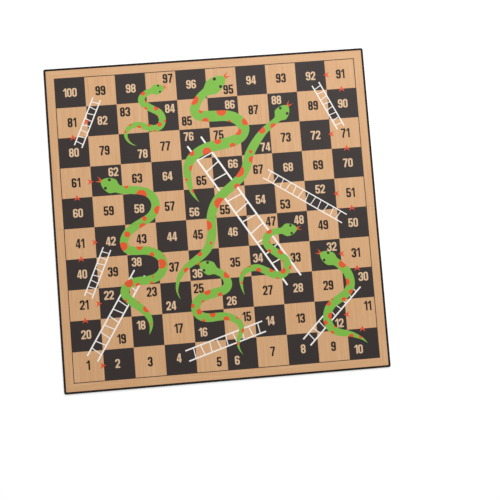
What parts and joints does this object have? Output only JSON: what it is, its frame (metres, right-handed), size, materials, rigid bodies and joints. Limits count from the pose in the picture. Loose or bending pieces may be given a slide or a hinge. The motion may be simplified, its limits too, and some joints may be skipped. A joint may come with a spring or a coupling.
{
  "type": "snakes and ladders board",
  "caption": "Square folding game board with a numbered grid, snakes and ladders, on cloth-hinged greyboard leaves that open flat for play and fold face to face.",
  "frame": {"origin": "centre of the open board's underside, on the surface it lies on", "axes": "+X along the rows of squares to the right, +Y up the board from the lower to the upper leaf, +Z out of the printed face"},
  "size_m": [0.356, 0.356, 0.0025],
  "materials": {
    "greyboard": "matt pressed greyboard",
    "cover_paper": "black embossed cover paper",
    "printed_sheet": "litho printed wood grain under a satin coat",
    "hinge_cloth": "black woven book cloth",
    "charcoal_ink": "litho ink under a satin coat",
    "white_ink": "litho ink under a satin coat",
    "green_ink": "litho ink under a satin coat",
    "orange_ink": "litho ink under a satin coat",
    "red_ink": "litho ink under a satin coat"
  },
  "bodies": {
    "lower_leaf": {"lower_core_board": "greyboard", "lower_cover_paper": "cover_paper", "lower_label": "printed_sheet", "lower_hinge_tape": "hinge_cloth", "lower_dark_print": "charcoal_ink", "lower_ladders": "white_ink", "lower_snakes": "green_ink", "lower_snake_spots": "orange_ink", "lower_arrows": "red_ink"},
    "upper_leaf": {"upper_core_board": "greyboard", "upper_cover_paper": "cover_paper", "upper_label": "printed_sheet", "upper_hinge_tape": "hinge_cloth", "upper_dark_print": "charcoal_ink", "upper_ladders": "white_ink", "upper_snakes": "green_ink", "upper_snake_spots": "orange_ink", "upper_arrows": "red_ink"}
  },
  "joints": [
    {"name": "fold", "type": "hinge", "parent": "lower_leaf", "child": "upper_leaf", "pos_m": [0, 0, 0.00255], "axis": [1, 0, 0], "range_deg": [0, 180]}
  ]
}
